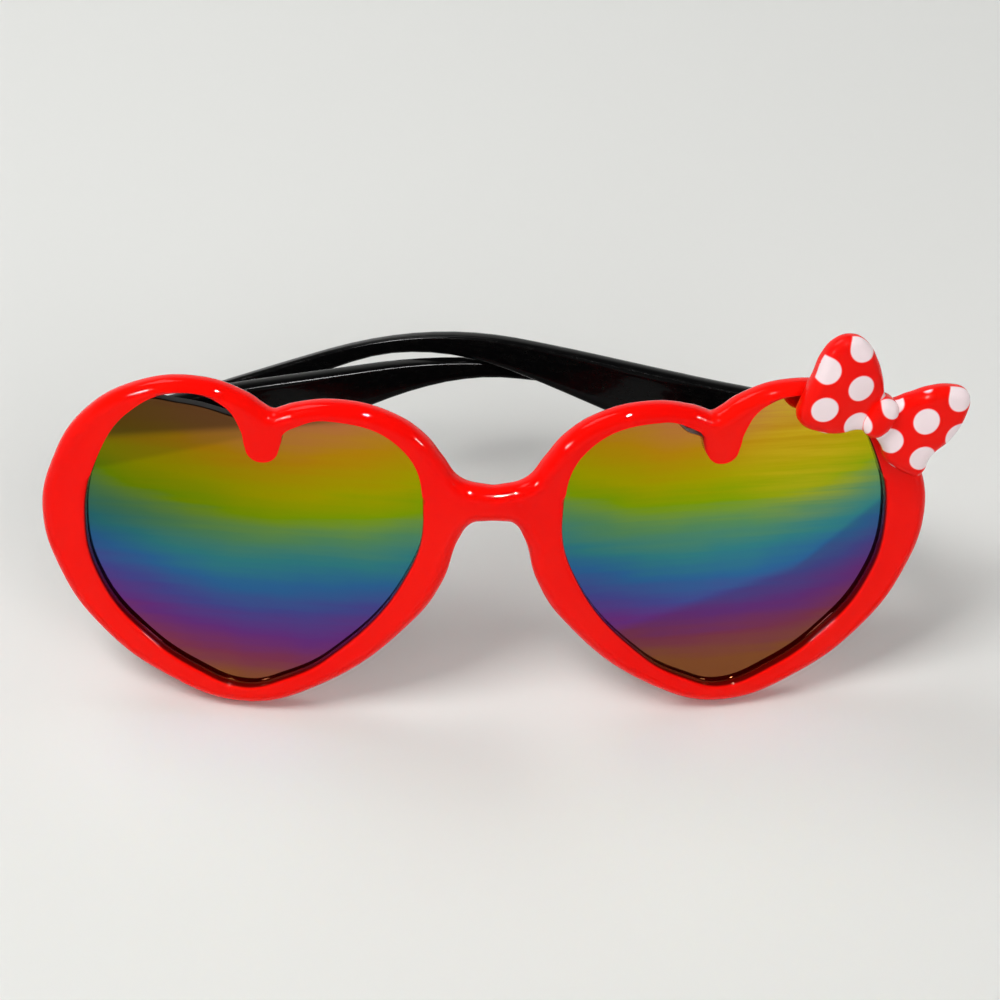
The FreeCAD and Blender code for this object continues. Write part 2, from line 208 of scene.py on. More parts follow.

# Edges of the lenses' painted patches: two points of a line, and how far below and above it the edge fades
# Below these two lies a painted dark reflection on the left lens
PATCH_OUTER = ((55.7, -3.0), (45.1, -12.3), (-0.6, 0.5))
PATCH_INNER = ((45.1, -12.3), (22.1, -19.9), (-1.2, 0.8))
# Above these two lies painted shade where the arm lies behind the right lens
PATCH_UPPER = ((-55.0, 7.2), (-36.0, 9.8), (-0.8, 0.8))
PATCH_MIDDLE = ((-56.5, 1.9), (-37.0, 7.7), (-0.4, 0.6))
# How far each patch of painted shade or painted reflection darkens
DIM_UPPER = 0.5
DIM_MIDDLE = 0.24
DIM_BELOW = 0.2

# A painted bright reflection on the left lens's coating: its place, where it starts and is full, and its strength
REFLECTION_SPOT = (45.0, 10.0)
REFLECTION_REACH = (17.0, 2.0)
REFLECTION_STREAKS = (0.2, 0.7)
REFLECTION_STRENGTH = 0.75

# The coating's strength, how much is added across the left lens, and how much painted shade takes off the
# upper right one
COATING_STRENGTH = 1.13
BRIGHT_ACROSS = (12.0, 40.0)
BRIGHT_MORE = 0.22
DULL_ACROSS = (-14.0, -58.0)
DULL_UP = (-13.0, -3.0)
DULL_LESS = 0.42

# Roughness from a finish's smoothest places to its roughest
RED_ROUGHNESS = (0.03, 0.07)
BLACK_ROUGHNESS = (0.08, 0.18)
LENS_ROUGHNESS = (0.04, 0.10)
CUT_EDGE_ROUGHNESS = 0.5
NICKEL_ROUGHNESS = (0.2, 0.4)

# Stage, in metres: half the floor's side, and where its light gives way to an even tone. The backdrop is pale
# up to the heights of a view's direction in BACKDROP_TOP, between which it fades
FLOOR_HALF = 3.0
FLOOR_NEAR = 0.2
FLOOR_FAR = 0.55
BACKDROP_TOP = (0.2, 0.55)

# Lamps: place and width in metres, power in watts, and whether each shows in the gloss, in plain light or both
LAMP_TARGET = (0.0, 0.02, 0.03)
LAMPS = {
    "window": ((-0.45, -0.18, 0.95), 0.42, 6.4, "light"),
    "back": ((-0.4, 0.5, 0.8), 0.4, 2.2, "both"),
    "fill": ((0.4, -0.9, 0.8), 0.7, 4.6, "light"),
    "left_spark": ((-0.66, -0.42, 0.75), 0.12, 6.0, "gloss"),
    "right_spark": ((0.68, -0.32, 0.66), 0.1, 4.0, "gloss"),
    "top_spark": ((0.1, -0.24, 0.98), 0.06, 26.0, "gloss"),
}

# Camera: focal length and sensor in millimetres, and the nearest thing it sees in metres
CAMERA_LENS = 101.0
CAMERA_SENSOR = 36.0
CAMERA_NEAR = 0.01


def record_mount(name):
    """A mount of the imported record, by its name."""
    return next(mount for mount in frame["record"]["mounts"] if mount["name"] == name)


def row_from_upright():
    """The matrix from the upright glasses, in millimetres, to the row frame, in metres."""
    down_the_nose = Vector(record_mount("nose_saddle")["axis"])
    lean = math.atan2(down_the_nose.y, down_the_nose.z) + math.pi
    turn = Matrix.Rotation(-lean, 4, "X")
    screw = next(joint for joint in frame["joints"] if joint["name"] == "left_arm_fold")
    shift = Vector(screw["pos_m"]) - turn @ (HINGE * MM)
    return Matrix.Translation(shift) @ turn @ Matrix.Scale(MM, 4)


ROW = row_from_upright()

# From a flat drawing, X across and Y up with its front facing +Z, to the upright glasses
STANDING = Matrix.Rotation(math.pi / 2, 4, "X")

# From the left half's own flat frame to its swept back place
LEFT_HALF = (
    Matrix.Translation((BRIDGE_RADIUS * math.sin(FRONT_WRAP), BRIDGE_RADIUS * (1 - math.cos(FRONT_WRAP)), 0))
    @ Matrix.Rotation(FRONT_WRAP, 4, "Z")
    @ Matrix.Translation((-BRIDGE_HALF, 0, 0))
)
MIRROR = Matrix.Scale(-1, 4, (1, 0, 0))


class Value:
    """A number on a surface. Arithmetic on it adds Math nodes to its finish."""

    def __init__(self, finish, socket):
        self.finish = finish
        self.socket = socket

    def math(self, operation, *others):
        """The result of a Math node on this number and others."""
        node = self.finish.node("ShaderNodeMath", {"operation": operation})
        for socket, value in zip(node.inputs, (self,) + others):
            self.finish.feed(socket, value)
        return Value(self.finish, node.outputs[0])

    def __add__(self, other):
        return self.math("ADD", other)

    __radd__ = __add__

    def __mul__(self, other):
        return self.math("MULTIPLY", other)

    __rmul__ = __mul__

    def __sub__(self, other):
        return self.math("SUBTRACT", other)

    def __rsub__(self, other):
        return self * -1 + other

    def __truediv__(self, other):
        return self.math("DIVIDE", other)

    def between(self, low, high):
        """0 at low, 1 at high and smooth between them."""
        inputs = {"Value": self, "From Min": low, "From Max": high}
        node = self.finish.node("ShaderNodeMapRange", {"interpolation_type": "SMOOTHSTEP"}, inputs)
        return Value(self.finish, node.outputs[0])

    def spread(self, low, high):
        """Low where this is 0 and high where it is 1."""
        return self * (high - low) + low


def set_stops(elements, stops):
    """Gives a ramp its stops, which are places from 0 to 1 with their colours."""
    elements[0].color = stops[0][1]
    elements[-1].color = stops[-1][1]
    for place, colour in stops[1:-1]:
        elements.new(place).color = colour


class Nodes:
    """A node tree and the one way to add to it."""

    def __init__(self, tree):
        self.tree = tree

    def feed(self, socket, value):
        """Links a value or an output to a socket, or sets the number there."""
        if isinstance(value, Value):
            value = value.socket
        if isinstance(value, bpy.types.NodeSocket):
            self.tree.links.new(value, socket)
        else:
            socket.default_value = value

    def node(self, kind, settings=None, inputs=None):
        """A new node with its settings, then the values or links of its sockets."""
        node = self.tree.nodes.new(kind)
        for key, value in (settings or {}).items():
            if key == "stops":
                set_stops(node.color_ramp.elements, value)
            else:
                setattr(node, key, value)
        for key, value in (inputs or {}).items():
            self.feed(node.inputs[key], value)
        return node

    def parts(self, vector):
        """The three numbers of a vector."""
        split = self.node("ShaderNodeSeparateXYZ", None, {"Vector": vector})
        return [Value(self, output) for output in split.outputs]

    def share_shader(self, share, first, second, output):
        """Ends the tree in one shader where the share is 0 and another where it is 1."""
        inputs = {0: share, 1: first.outputs[0], 2: second.outputs[0]}
        mix = self.node("ShaderNodeMixShader", None, inputs)
        self.feed(self.tree.nodes[output].inputs["Surface"], mix.outputs[0])


class Finish(Nodes):
    """A material whose nodes end in one Principled shader."""

    def __init__(self, name, **constants):
        self.material = bpy.data.materials.new(name)
        self.material.use_nodes = True
        super().__init__(self.material.node_tree)
        self.shader = self.tree.nodes["Principled BSDF"]
        for key, value in constants.items():
            self.shader.inputs[key.replace("_", " ")].default_value = value

    def surface(self, **inputs):
        """Feeds the shader's own sockets."""
        for key, value in inputs.items():
            self.feed(self.shader.inputs[key.replace("_", " ")], value)

    def place(self, matrix):
        """The surface's place as a vector in the frame that a matrix sets in the row."""
        shift, turn, scale = matrix.decompose()
        inputs = {"Vector": self.node("ShaderNodeTexCoord").outputs["Object"]}
        inputs["Location"] = shift
        inputs["Rotation"] = turn.to_euler()
        inputs["Scale"] = scale
        return self.node("ShaderNodeMapping", {"vector_type": "TEXTURE"}, inputs).outputs[0]

    def stretched(self, vector, scale):
        """A vector multiplied part by part."""
        inputs = {0: vector, 1: scale}
        return self.node("ShaderNodeVectorMath", {"operation": "MULTIPLY"}, inputs).outputs[0]

    def noise(self, vector, scale, detail=3.0, roughness=0.5):
        """A cloud of values round a half."""
        inputs = {"Vector": vector, "Scale": scale, "Detail": detail, "Roughness": roughness}
        return Value(self, self.node("ShaderNodeTexNoise", None, inputs).outputs[0])

    def mixed(self, share, first, second):
        """One colour where the share is 0 and another where it is 1."""
        inputs = {"Factor": share, 6: first, 7: second}
        return self.node("ShaderNodeMix", {"data_type": "RGBA"}, inputs).outputs[2]

    def bump(self, height, strength, distance):
        """Tilts the surface by a height over a distance in metres."""
        inputs = {"Height": height, "Strength": strength, "Distance": distance}
        self.feed(self.shader.inputs["Normal"], self.node("ShaderNodeBump", None, inputs).outputs[0])

    def facing(self, matrix, direction):
        """How squarely the surface faces a direction of the frame that a matrix sets in the row."""
        towards = (matrix.to_3x3() @ Vector(direction)).normalized()
        inputs = {0: self.node("ShaderNodeTexCoord").outputs["Normal"], 1: towards}
        product = self.node("ShaderNodeVectorMath", {"operation": "DOT_PRODUCT"}, inputs)
        return Value(self, product.outputs["Value"])

    def base_colour(self):
        """The colour that the shader has so far."""
        return self.shader.inputs["Base Color"].links[0].from_socket


def opaque(colour):
    """A colour with an alpha of 1."""
    return (colour[0], colour[1], colour[2], 1.0)


def heart_places(points):
    """Points of a heart, moved to its place along the front."""
    return [(HEART_CENTRE + x, y) for x, y in points]


def drawn_mesh(outline, thickness, rounding, handles="AUTO", grow=0.0):
    """A bmesh plate with rounded edges inside a closed outline or past it, with its front at Z = 0."""
    curve = bpy.data.curves.new("drawing", "CURVE")
    curve.dimensions = "2D"
    curve.fill_mode = "BOTH"
    curve.resolution_u = OUTLINE_STEPS
    curve.extrude = thickness / 2 - rounding
    curve.bevel_depth = rounding
    curve.bevel_resolution = EDGE_STEPS
    curve.offset = grow - rounding
    spline = curve.splines.new("BEZIER")
    spline.bezier_points.add(len(outline) - 1)
    spline.use_cyclic_u = True
    for knot, place in zip(spline.bezier_points, outline):
        knot.co = (place[0], place[1], 0.0)
        knot.handle_left_type = handles
        knot.handle_right_type = handles
    bm = built_mesh(bpy.data.objects.new("drawing", curve))
    bpy.data.curves.remove(curve)
    bmesh.ops.remove_doubles(bm, verts=bm.verts, dist=SAME_POINT)
    bmesh.ops.dissolve_limit(bm, angle_limit=FLAT_ANGLE, verts=bm.verts, edges=bm.edges)
    bmesh.ops.translate(bm, verts=bm.verts, vec=(0, 0, -thickness / 2))
    bmesh.ops.recalc_face_normals(bm, faces=bm.faces)
    return bm


def built_mesh(holder):
    """A bmesh of an object as its curve or modifiers make it. The object is removed."""
    bpy.context.scene.collection.objects.link(holder)
    depsgraph = bpy.context.evaluated_depsgraph_get()
    mesh = bpy.data.meshes.new_from_object(holder.evaluated_get(depsgraph))
    bpy.data.objects.remove(holder)
    bm = bmesh.new()
    bm.from_mesh(mesh)
    bpy.data.meshes.remove(mesh)
    return bm


def held_mesh(name, bm):
    """A passing object that holds a bmesh, which is freed."""
    mesh = bpy.data.meshes.new(name)
    bm.to_mesh(mesh)
    bm.free()
    return bpy.data.objects.new(name, mesh)


def cut_out(bm, cutters):
    """A bmesh with cutters taken out of it."""
    body = held_mesh("body", bm)
    tools = [held_mesh("cutter", cutter) for cutter in cutters]
    for tool in tools:
        bpy.context.scene.collection.objects.link(tool)
        cut = body.modifiers.new("Cut", "BOOLEAN")
        cut.solver = "EXACT"
        cut.object = tool
    cut_mesh = built_mesh(body)
    for tool in tools:
        bpy.data.objects.remove(tool)
    return cut_mesh


def add_mesh(bm, other, matrix):
    """Adds another bmesh, moved by a matrix, and frees it."""
    bmesh.ops.transform(other, matrix=matrix, verts=other.verts)
    if matrix.determinant() < 0:
        bmesh.ops.reverse_faces(other, faces=other.faces)
    mesh = bpy.data.meshes.new("part")
    other.to_mesh(mesh)
    other.free()
    bm.from_mesh(mesh)
    bpy.data.meshes.remove(mesh)


def cut_lines(bm, axis, places):
    """Adds edges across a bmesh where an axis has the given places."""
    for place in places:
        point = axis * place
        geometry = bm.verts[:] + bm.edges[:] + bm.faces[:]
        bmesh.ops.bisect_plane(bm, geom=geometry, dist=1e-5, plane_co=point, plane_no=axis)


def finished_piece(name, bm, matrix, body, material, nodes):
    """Makes an object of a bmesh in the row frame, which rides on a body in place of CAD nodes."""
    bmesh.ops.transform(bm, matrix=matrix, verts=bm.verts)
    for face in bm.faces:
        face.smooth = True
    mesh = bpy.data.meshes.new(name)
    bm.to_mesh(mesh)
    bm.free()
    piece = bpy.data.objects.new(name, mesh)
    bpy.context.scene.collection.objects.link(piece)
    mesh.materials.append(material)
    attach(piece, body)
    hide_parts(*nodes)
    return piece


def even_normals(piece):
    """Keeps flat faces flat beside their rounded edges."""
    modifier = piece.modifiers.new("Even normals", "WEIGHTED_NORMAL")
    modifier.mode = "FACE_AREA"
    modifier.weight = 100


def swept_back(place):
    """Where a point of the flat front goes when both halves are swept back about the bridge."""
    side = math.copysign(1.0, place.x)
    across = abs(place.x)
    if across < BRIDGE_HALF:
        turn = FRONT_WRAP * across / BRIDGE_HALF
        radius = BRIDGE_RADIUS - place.y
        return Vector((side * radius * math.sin(turn), BRIDGE_RADIUS - radius * math.cos(turn), place.z))
    moved = LEFT_HALF @ Vector((across, place.y, place.z))
    return Vector((side * moved.x, moved.y, moved.z))


def opening_outline(side, moved=None):
    """The outline of one lens opening in the flat front, with the drop between its lobes."""
    points = [(moved or {}).get(point, point) for point in OPENING]
    turns = [math.radians(turn) for turn in DROP_TURNS]
    x, y = DROP_MIDDLE
    drop = [(x + DROP_RADIUS * math.cos(turn), y + DROP_RADIUS * math.sin(turn)) for turn in turns]
    outline = heart_places(points + drop)
    return outline if side > 0 else [(-x, y) for x, y in reversed(outline)]


def soften_openings(bm, edge):
    """Rounds the front edges of the lens openings in the flat front, below their lobes."""
    rims = []
    for rim in bm.edges:
        in_front = all(abs(vert.co.z) < IN_PLANE and vert.co.y < SOFT_TOP for vert in rim.verts)
        if in_front and rim.calc_face_angle(0.0) > SHARP_ANGLE:
            rims.append(rim)
    bmesh.ops.bevel(
        bm, geom=rims, offset=edge, offset_type="OFFSET", affect="EDGES", segments=SOFT_STEPS, profile=0.5,
        clamp_overlap=False, material=-1,
    )


def mark_openings(bm):
    """Marks the walls of the lens openings in a point attribute of the flat front."""
    inside = bm.verts.layers.float.new("inside")
    bm.normal_update()
    for vert in bm.verts:
        inward = Vector((math.copysign(HEART_CENTRE, vert.co.x), OPENING_MIDDLE, 0)) - vert.co
        inward.z = 0
        faces_inward = vert.normal.dot(inward.normalized()) > FACES_INWARD
        vert[inside] = 1.0 if faces_inward and inward.length < OPENING_REACH else 0.0


def lens_mesh(side, name):
    """A lens in the upright glasses, which reaches into the groove round its opening."""
    bm = drawn_mesh(opening_outline(1, LENS_SHORT[name]), LENS_THICKNESS, LENS_ROUND, grow=LENS_SEAT)
    bmesh.ops.transform(bm, matrix=STANDING, verts=bm.verts)
    bmesh.ops.translate(bm, verts=bm.verts, vec=(0, LENS_FRONT, 0))
    placed = bmesh.new()
    add_mesh(placed, bm, LEFT_HALF if side > 0 else MIRROR @ LEFT_HALF)
    return placed


def front_mesh(rounding, edge):
    """Both heart rims and the bridge, in the upright glasses."""
    above = (BRIDGE_HALF, BRIDGE_TOP)
    below = (BRIDGE_HALF, BRIDGE_BOTTOM)
    half = [above] + heart_places(HEART) + [below]
    outline = half + [(-x, y) for x, y in reversed(half)]
    bm = drawn_mesh(outline, FRONT_THICKNESS, rounding)
    cutters = []
    for side in (1, -1):
        cutter = drawn_mesh(opening_outline(side), 2 * FRONT_THICKNESS, 0.0)
        bmesh.ops.translate(cutter, verts=cutter.verts, vec=(0, 0, FRONT_THICKNESS / 2))
        cutters.append(cutter)
    bm = cut_out(bm, cutters)
    soften_openings(bm, edge)
    mark_openings(bm)
    bmesh.ops.transform(bm, matrix=STANDING, verts=bm.verts)
    steps = range(-BRIDGE_STEPS, BRIDGE_STEPS + 1)
    cut_lines(bm, Vector((1, 0, 0)), [BRIDGE_HALF * step / BRIDGE_STEPS for step in steps])
    for vert in bm.verts:
        vert.co = swept_back(vert.co)
    return bm


def pad_mesh():
    """A soft nose pad in the left half's own frame."""
    along = Vector((math.cos(PAD_SLANT), -math.sin(PAD_SLANT)))
    across = Vector((-along.y, along.x))
    centre = Vector(heart_places([PAD_CENTRE])[0])
    outline = []
    for end in (1, -1):
        for turn in (-90, -30, 30, 90):
            angle = math.radians(turn)
            reach = PAD_HALF_LENGTH - PAD_HALF_WIDTH + PAD_HALF_WIDTH * math.cos(angle)
            outline.append(centre + along * (end * reach) + across * (end * PAD_HALF_WIDTH * math.sin(angle)))
    thickness = PAD_REACH + FRONT_THICKNESS / 2
    bm = drawn_mesh(outline, thickness, PAD_ROUND)
    bmesh.ops.transform(bm, matrix=STANDING, verts=bm.verts)
    bmesh.ops.translate(bm, verts=bm.verts, vec=(0, FRONT_THICKNESS / 2, 0))
    return bm


def hinge_frame(side):
    """The matrix from a hinge's own frame, screw on Z, to the upright glasses."""
    place = Matrix.Translation((side * HINGE.x, HINGE.y, HINGE.z))
    lean = Matrix.Rotation(HINGE_LEAN, 4, "Y")
    return place @ lean if side > 0 else place @ lean @ MIRROR


def block_mesh():
    """The block behind the front that an open arm butts on, in the hinge's own frame."""
    bm = drawn_mesh(BLOCK_SECTION, -BLOCK_FRONT, BLOCK_ROUND, "VECTOR")
    bmesh.ops.transform(bm, matrix=STANDING, verts=bm.verts)
    bmesh.ops.translate(bm, verts=bm.verts, vec=(0, BLOCK_FRONT, 0))
    return bm


def smooth_share(value, start, end):
    """0 before start, 1 after end and smooth between them."""
    share = min(max((value - start) / (end - start), 0.0), 1.0)
    return share * share * (3 - 2 * share)


def arm_station(along, share, hang):
    """The matrix from a unit section to an arm's section at a distance behind the screw."""

    def cut(place):
        return BUTT_CUT * (1 - smooth_share(place, 0.0, BUTT_LENGTH))

    def fall(place):
        reach = ARM_LENGTH - hang["start"]
        bent = max(min(place, hang["straight"]) - hang["start"], 0.0) / reach
        slope = hang["fall"] * hang["power"] * bent ** (hang["power"] - 1) / reach
        return hang["fall"] * bent ** hang["power"] + slope * max(place - hang["straight"], 0.0)

    def middle(place):
        bend = max(place - BEND_START, 0.0) / (ARM_LENGTH - BEND_START)
        lift = hang["lift"] * smooth_share(place, 0.0, LIFT_LENGTH)
        top = BLADE_HEIGHT / 2 - cut(place) + lift - fall(place)
        inner = FACE_INSET - ARM_INSET * bend**INSET_POWER
        return Vector((inner + thickness(place) / 2, place, top - height(place) / 2))

    def height(place):
        narrowed = (NECK_HEIGHT - BLADE_HEIGHT) * smooth_share(place, BLADE_END, hang["neck"])
        at_tip = (TIP_HEIGHT - NECK_HEIGHT) * smooth_share(place, NECK_END, EAR_START)
        return BLADE_HEIGHT - cut(place) + narrowed + at_tip

    def thickness(place):
        narrowed = smooth_share(place, BLADE_END, hang["neck"])
        return BLADE_THICKNESS + (EAR_THICKNESS - BLADE_THICKNESS) * narrowed

    run = middle(along + SLOPE_STEP) - middle(along - SLOPE_STEP)
    lean = math.atan2(run.z, run.y)
    size = Matrix.Diagonal((thickness(along) * share / 2, 1, height(along) * share * math.cos(lean) / 2, 1))
    return Matrix.Translation(middle(along)) @ Matrix.Rotation(lean, 4, "X") @ size


def arm_mesh(corner, hang):
    """An arm in the hinge's own frame, straight back as it is worn."""
    bm = bmesh.new()
    ring = bmesh.ops.create_circle(bm, segments=ARM_SIDES, radius=1.0)["verts"]
    bmesh.ops.transform(bm, matrix=STANDING, verts=bm.verts)
    for vert in bm.verts:
        for axis in (0, 2):
            vert.co[axis] = math.copysign(abs(vert.co[axis]) ** corner, vert.co[axis])
    run = LAST_STATION - FIRST_STATION
    stations = [(BUTT_GAP + along, share) for along, share in BUTT_ROUND]
    stations += [(FIRST_STATION + run * step / ARM_STEPS, 1.0) for step in range(ARM_STEPS + 1)]
    stations += [(ARM_LENGTH - back, share) for back, share in TIP_ROUND]
    placed = arm_station(*stations[0], hang)
    bmesh.ops.transform(bm, matrix=placed, verts=ring)
    edges = bm.edges[:]
    bmesh.ops.edgeloop_fill(bm, edges=edges)
    for station in stations[1:]:
        made = bmesh.ops.extrude_edge_only(bm, edges=edges)["geom"]
        verts = [item for item in made if isinstance(item, bmesh.types.BMVert)]
        edges = [item for item in made if isinstance(item, bmesh.types.BMEdge)]
        following = arm_station(*station, hang)
        bmesh.ops.transform(bm, matrix=following @ placed.inverted(), verts=verts)
        placed = following
    bmesh.ops.edgeloop_fill(bm, edges=edges)
    bmesh.ops.recalc_face_normals(bm, faces=bm.faces)
    return bm


def bow_frame():
    """The matrix from the bow's own frame to the row."""
    seat = Matrix.Translation((BOW_PLACE[0], -BOW_SEAT, BOW_PLACE[1]))
    return ROW @ LEFT_HALF @ seat @ Matrix.Rotation(BOW_SLOPE, 4, "Y")


def bow_mesh(rounding, swell):
    """Both loops and the knot of the bow, with their seat at Y = 0."""
    bm = drawn_mesh(BOW_OUTLINE, BOW_THICKNESS, rounding)
    bmesh.ops.transform(bm, matrix=STANDING, verts=bm.verts)
    cut_lines(bm, Vector((1, 0, 0)), range(-BOW_CUTS[0], BOW_CUTS[0] + 1))
    cut_lines(bm, Vector((0, 0, 1)), range(-BOW_CUTS[1], BOW_CUTS[1] + 1))
    for vert in bm.verts:
        if vert.co.y < BOW_THICKNESS / 2:
            across = (abs(vert.co.x) - LOOP_MIDDLE) / LOOP_HALF[0]
            along = vert.co.z / LOOP_HALF[1]
            vert.co.y -= swell * max(0.0, 1 - across**2) * max(0.0, 1 - along**2)
    knot = drawn_mesh(KNOT_OUTLINE, KNOT_THICKNESS, rounding)
    place = Matrix.Translation((KNOT_PLACE[0], BOW_THICKNESS - KNOT_THICKNESS, KNOT_PLACE[1]))
    add_mesh(bm, knot, place @ STANDING)
    bmesh.ops.translate(bm, verts=bm.verts, vec=(0, -BOW_THICKNESS, 0))
    return bm


def red_plastic(name, colour, warm):
    """Glossy moulded plastic with a faint flow in its colour and a hint of orange peel."""
    finish = Finish(name, IOR=1.45, Specular_IOR_Level=0.13)
    place = finish.place(ROW)
    flow = finish.noise(place, scale=0.05, detail=2.0)
    peel = finish.noise(place, scale=0.9, detail=2.0)
    rubbed = finish.noise(place, scale=0.35, detail=6.0, roughness=0.7)
    finish.surface(
        Base_Color=finish.mixed(flow.between(0.35, 0.65), opaque(colour), opaque(warm)),
        Roughness=rubbed.between(0.45, 0.8).spread(*RED_ROUGHNESS),
    )
    finish.bump(peel, strength=0.02, distance=0.0002)
    return finish


def front_finish():
    """The front's red plastic, with painted shade, a deep dull red, on the walls round the lenses."""
    settings = bpy.context.scene.shades_front
    finish = red_plastic("front_red", settings.colour, settings.warm_colour)
    attribute = finish.node("ShaderNodeAttribute", {"attribute_name": "inside"})
    inside = Value(finish, attribute.outputs["Fac"])
    x, y, _ = finish.parts(finish.place(ROW))
    shift = LEFT_HALF.translation
    depth = (y - shift.y) * math.cos(FRONT_WRAP) - (x.math("ABSOLUTE") - shift.x) * math.sin(FRONT_WRAP)
    starts, ends = (settings.edge / MM * share for share in WALL_SHADE_FADE)
    # Painted shade: the walls round the lenses darken from a little way into their rounded front edge
    wall_shade = inside.between(0.3, 0.7) * depth.between(starts, ends)
    finish.surface(Base_Color=finish.mixed(wall_shade, finish.base_colour(), opaque(settings.wall_shade_colour)))
    return finish.material


def bow_finish():
    """The bow's red plastic with white printed dots on its face, in staggered rows."""
    settings = bpy.context.scene.shades_bow
    finish = red_plastic("bow_red", settings.colour, settings.warm_colour)
    place = bow_frame()
    x, _, z = finish.parts(finish.place(place))
    spacing = settings.dot_spacing / MM
    rise = spacing * math.sqrt(3) / 2
    row = (z - DOT_SHIFT[1]) / rise + 0.5
    odd = row.math("FLOOR").math("PINGPONG", 1.0)
    along = (x - DOT_SHIFT[0]) / spacing + odd * 0.5 + 0.25
    near_x = (along.math("FRACT") - 0.5) * spacing
    near_z = (row.math("FRACT") - 0.5) * rise
    distance = (near_x * near_x + near_z * near_z).math("SQRT")
    radius = settings.dot_radius / MM
    front = finish.facing(place, (0, -1, 0)).between(*DOT_TURN)
    dot = distance.between(radius + DOT_SOFT, radius - DOT_SOFT) * front
    finish.surface(Base_Color=finish.mixed(dot, finish.base_colour(), opaque(settings.dot_colour)))
    return finish.material


def black_plastic():
    """Black moulded plastic with a soft gloss and faint handling marks."""
    settings = bpy.context.scene.shades_arms
    finish = Finish("arm_black", IOR=1.45, Specular_IOR_Level=0.1)
    place = finish.place(ROW)
    along = finish.stretched(place, (0.2, 1.0, 1.0))
    marks = finish.noise(along, scale=1.2, detail=5.0, roughness=0.7)
    peel = finish.noise(place, scale=0.8, detail=2.0)
    worn = marks.between(0.4, 0.75)
    finish.surface(
        Base_Color=finish.mixed(worn, opaque(settings.colour), opaque(settings.worn_colour)),
        Roughness=marks.between(0.35, 0.8).spread(*BLACK_ROUGHNESS),
    )
    finish.bump(peel, strength=0.03, distance=0.0002)
    return finish.material


def above_edge(x, z, edge):
    """0 below a patch's edge on the upright glasses, 1 above it and smooth across it."""
    (first_x, first_z), (second_x, second_z), (low, high) = edge
    length = math.hypot(second_x - first_x, second_z - first_z)
    across = (first_z - second_z) / length
    up = (second_x - first_x) / length
    sign = math.copysign(1.0, up)
    rise = (x - first_x) * (across * sign) + (z - first_z) * (up * sign)
    return rise.between(low, high)


def lens_finish():
    """A mirror coating whose colours run down the lens in gently bowed bands, on a smoky lens, with painted shade
    and painted reflections on it and a painted highlight on its cut edge.
    """
    settings = bpy.context.scene.shades_lens
    finish = Finish("lens_mirror", Specular_IOR_Level=0.5)
    place = finish.place(ROW)
    x, _, z = finish.parts(place)
    on_left = x.between(-1.0, 1.0)
    from_low = x.math("ABSOLUTE") - settings.band_middle / MM
    smeared = finish.stretched(place, (0.04, 0.04, 0.9))
    streaks = finish.noise(smeared, scale=1.0, detail=4.0, roughness=0.6)
    drift = finish.noise(place, scale=0.07, detail=2.0)
    # Below the left lens's patch edges lies a painted dark reflection, which also lowers the bands there
    above = above_edge(x, z, PATCH_OUTER) * above_edge(x, z, PATCH_INNER)
    below = (1 - above) * on_left
    height = z - from_low * from_low * settings.band_bow * MM
    height = height + (streaks - 0.5) * BAND_STREAK + (drift - 0.5) * BAND_DRIFT
    height = height - on_left * LEFT_RAISE - BAND_RAISE - below * BELOW_RAISE
    # Painted shade where the arm lies behind the upper right lens
    upper = above_edge(x, z, PATCH_UPPER) * (1 - on_left)
    middle = above_edge(x, z, PATCH_MIDDLE) * (1 - on_left)
    shade_and_reflection = upper * DIM_UPPER + middle * DIM_MIDDLE + below * DIM_BELOW
    # A painted bright reflection on the upper left lens, broken by the streaks
    reflection_x = x - REFLECTION_SPOT[0]
    reflection_z = z - REFLECTION_SPOT[1]
    from_reflection = (reflection_x * reflection_x + reflection_z * reflection_z).math("SQRT")
    bright_reflection = from_reflection.between(*REFLECTION_REACH) * streaks.between(*REFLECTION_STREAKS) * REFLECTION_STRENGTH
    top = LENS_BANDS[0][0]
    bottom = LENS_BANDS[-1][0]
    reach = top - bottom
    stops = [((level - bottom) / reach, opaque(colour)) for level, colour in reversed(LENS_BANDS)]
    ramp = finish.node("ShaderNodeValToRGB", {"stops": stops}, {"Fac": (height - bottom) / reach})
    brighter = x.between(*BRIGHT_ACROSS) * BRIGHT_MORE
    # Painted shade dulls the upper right lens towards its outer side
    duller = x.between(*DULL_ACROSS) * z.between(*DULL_UP) * DULL_LESS
    inputs = {0: ramp.outputs[0], "Scale": brighter + COATING_STRENGTH - duller}
    bands = finish.node("ShaderNodeVectorMath", {"operation": "SCALE"}, inputs)
    coating = finish.mixed(shade_and_reflection, bands.outputs[0], opaque(settings.shade_and_reflection_colour))
    coating = finish.mixed(bright_reflection, coating, opaque(settings.reflection_colour))
    front = finish.facing(ROW, (0, -1, 0)).between(0.2, 0.6)
    # Painted highlight on the left lens's upward cut edge, and painted shade on the right lens's
    cut_edge = finish.facing(ROW, (0, 0, 1)).between(0.4, 0.7)
    edge_highlight_and_shade = finish.mixed(on_left, opaque(settings.edge_shade_colour), opaque(settings.edge_highlight_colour))
    faces = finish.mixed(front, opaque(settings.back_colour), coating)
    finish.surface(
        Base_Color=finish.mixed(cut_edge, faces, edge_highlight_and_shade),
        Metallic=front,
        Roughness=streaks.between(0.3, 0.8).spread(*LENS_ROUGHNESS) + cut_edge * CUT_EDGE_ROUGHNESS,
    )
    return finish.material


